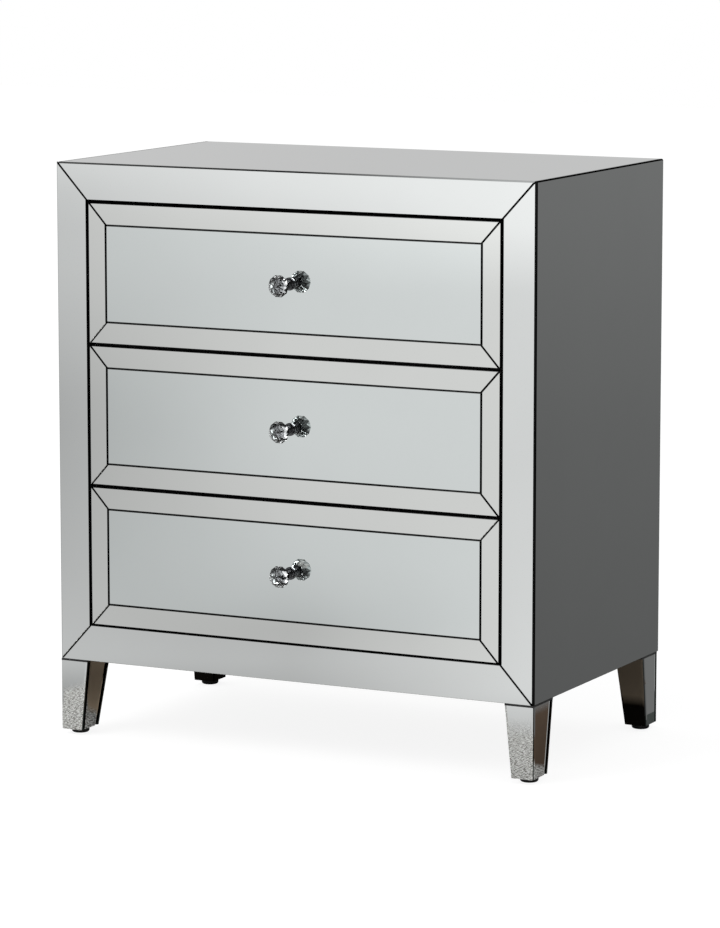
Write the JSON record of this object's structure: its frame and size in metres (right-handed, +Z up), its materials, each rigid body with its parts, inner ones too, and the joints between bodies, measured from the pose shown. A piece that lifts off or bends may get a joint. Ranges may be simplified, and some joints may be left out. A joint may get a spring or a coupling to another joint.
{
  "type": "chest of drawers",
  "caption": "Straight-sided chest of drawers faced all over in mirror glass, with mitred mirror borders, faceted crystal knobs, telescopic runners and short tapered mirrored legs.",
  "frame": {"origin": "on the floor, under the middle of the overall box with the drawers shut and the knobs included", "axes": "+Z up, -Y out of the front towards the user, +X to the right as seen from the front"},
  "size_m": [0.7, 0.451, 0.775],
  "materials": {
    "frame_mirror": "silvered glass, polished edges",
    "panel_mirror": "silvered glass, faint cool tint",
    "border_mirror": "silvered glass, neutral",
    "black_board": "fibreboard, satin black paint",
    "hardboard": "thin fibreboard, matt black",
    "pine": "planed softwood",
    "box_ply": "fibreboard, dark grey foil",
    "box_bottom": "thin board, black flocked",
    "runner_steel": "zinc plated sheet",
    "zinc_steel": "zinc plated",
    "chrome": "polished dark chrome",
    "crystal": "clear cut crystal",
    "glide_plastic": "moulded black plastic"
  },
  "bodies": {
    "carcase": {"top_panel": "black_board", "bottom_panel": "black_board", "back_panel": "hardboard", "left_side_panel": "black_board", "right_side_panel": "black_board", "carcase_screws": "zinc_steel", "leg_bolts": "zinc_steel", "face_frame": "black_board", "divider_rails": "black_board", "runner_battens": "pine", "cabinet_runners": "runner_steel", "top_mirror": "frame_mirror", "left_side_mirror": "frame_mirror", "right_side_mirror": "frame_mirror", "frame_mirror_top": "frame_mirror", "frame_mirror_bottom": "frame_mirror", "frame_mirror_left": "frame_mirror", "frame_mirror_right": "frame_mirror", "front_left_leg": "black_board", "front_right_leg": "black_board", "rear_left_leg": "black_board", "rear_right_leg": "black_board", "leg_mirrors": "frame_mirror", "leg_glides": "glide_plastic"},
    "bottom_drawer": {"bottom_drawer_front": "black_board", "bottom_drawer_centre_mirror": "panel_mirror", "bottom_drawer_border_mirrors": "border_mirror", "bottom_drawer_left_side": "box_ply", "bottom_drawer_right_side": "box_ply", "bottom_drawer_back": "box_ply", "bottom_drawer_bottom": "box_bottom", "bottom_drawer_knob_crystal": "crystal", "bottom_drawer_knob_base": "chrome", "bottom_drawer_fasteners": "zinc_steel", "bottom_drawer_runners": "runner_steel"},
    "bottom_runner_intermediates": {"bottom_drawer_runner_intermediates": "runner_steel"},
    "middle_drawer": {"middle_drawer_front": "black_board", "middle_drawer_centre_mirror": "panel_mirror", "middle_drawer_border_mirrors": "border_mirror", "middle_drawer_left_side": "box_ply", "middle_drawer_right_side": "box_ply", "middle_drawer_back": "box_ply", "middle_drawer_bottom": "box_bottom", "middle_drawer_knob_crystal": "crystal", "middle_drawer_knob_base": "chrome", "middle_drawer_fasteners": "zinc_steel", "middle_drawer_runners": "runner_steel"},
    "middle_runner_intermediates": {"middle_drawer_runner_intermediates": "runner_steel"},
    "top_drawer": {"top_drawer_front": "black_board", "top_drawer_centre_mirror": "panel_mirror", "top_drawer_border_mirrors": "border_mirror", "top_drawer_left_side": "box_ply", "top_drawer_right_side": "box_ply", "top_drawer_back": "box_ply", "top_drawer_bottom": "box_bottom", "top_drawer_knob_crystal": "crystal", "top_drawer_knob_base": "chrome", "top_drawer_fasteners": "zinc_steel", "top_drawer_runners": "runner_steel"},
    "top_runner_intermediates": {"top_drawer_runner_intermediates": "runner_steel"}
  },
  "joints": [
    {"name": "bottom_drawer_slide", "type": "slide", "parent": "carcase", "child": "bottom_drawer", "axis": [0, -1, 0], "range_m": [0, 0.32]},
    {"name": "bottom_runner_slide", "type": "slide", "parent": "carcase", "child": "bottom_runner_intermediates", "axis": [0, -1, 0], "range_m": [0, 0.16]},
    {"name": "middle_drawer_slide", "type": "slide", "parent": "carcase", "child": "middle_drawer", "axis": [0, -1, 0], "range_m": [0, 0.32]},
    {"name": "middle_runner_slide", "type": "slide", "parent": "carcase", "child": "middle_runner_intermediates", "axis": [0, -1, 0], "range_m": [0, 0.16]},
    {"name": "top_drawer_slide", "type": "slide", "parent": "carcase", "child": "top_drawer", "axis": [0, -1, 0], "range_m": [0, 0.32]},
    {"name": "top_runner_slide", "type": "slide", "parent": "carcase", "child": "top_runner_intermediates", "axis": [0, -1, 0], "range_m": [0, 0.16]}
  ],
  "couplings": [
    {"joint": "bottom_runner_slide", "follows": "bottom_drawer_slide", "ratio": 0.5},
    {"joint": "middle_runner_slide", "follows": "middle_drawer_slide", "ratio": 0.5},
    {"joint": "top_runner_slide", "follows": "top_drawer_slide", "ratio": 0.5}
  ]
}
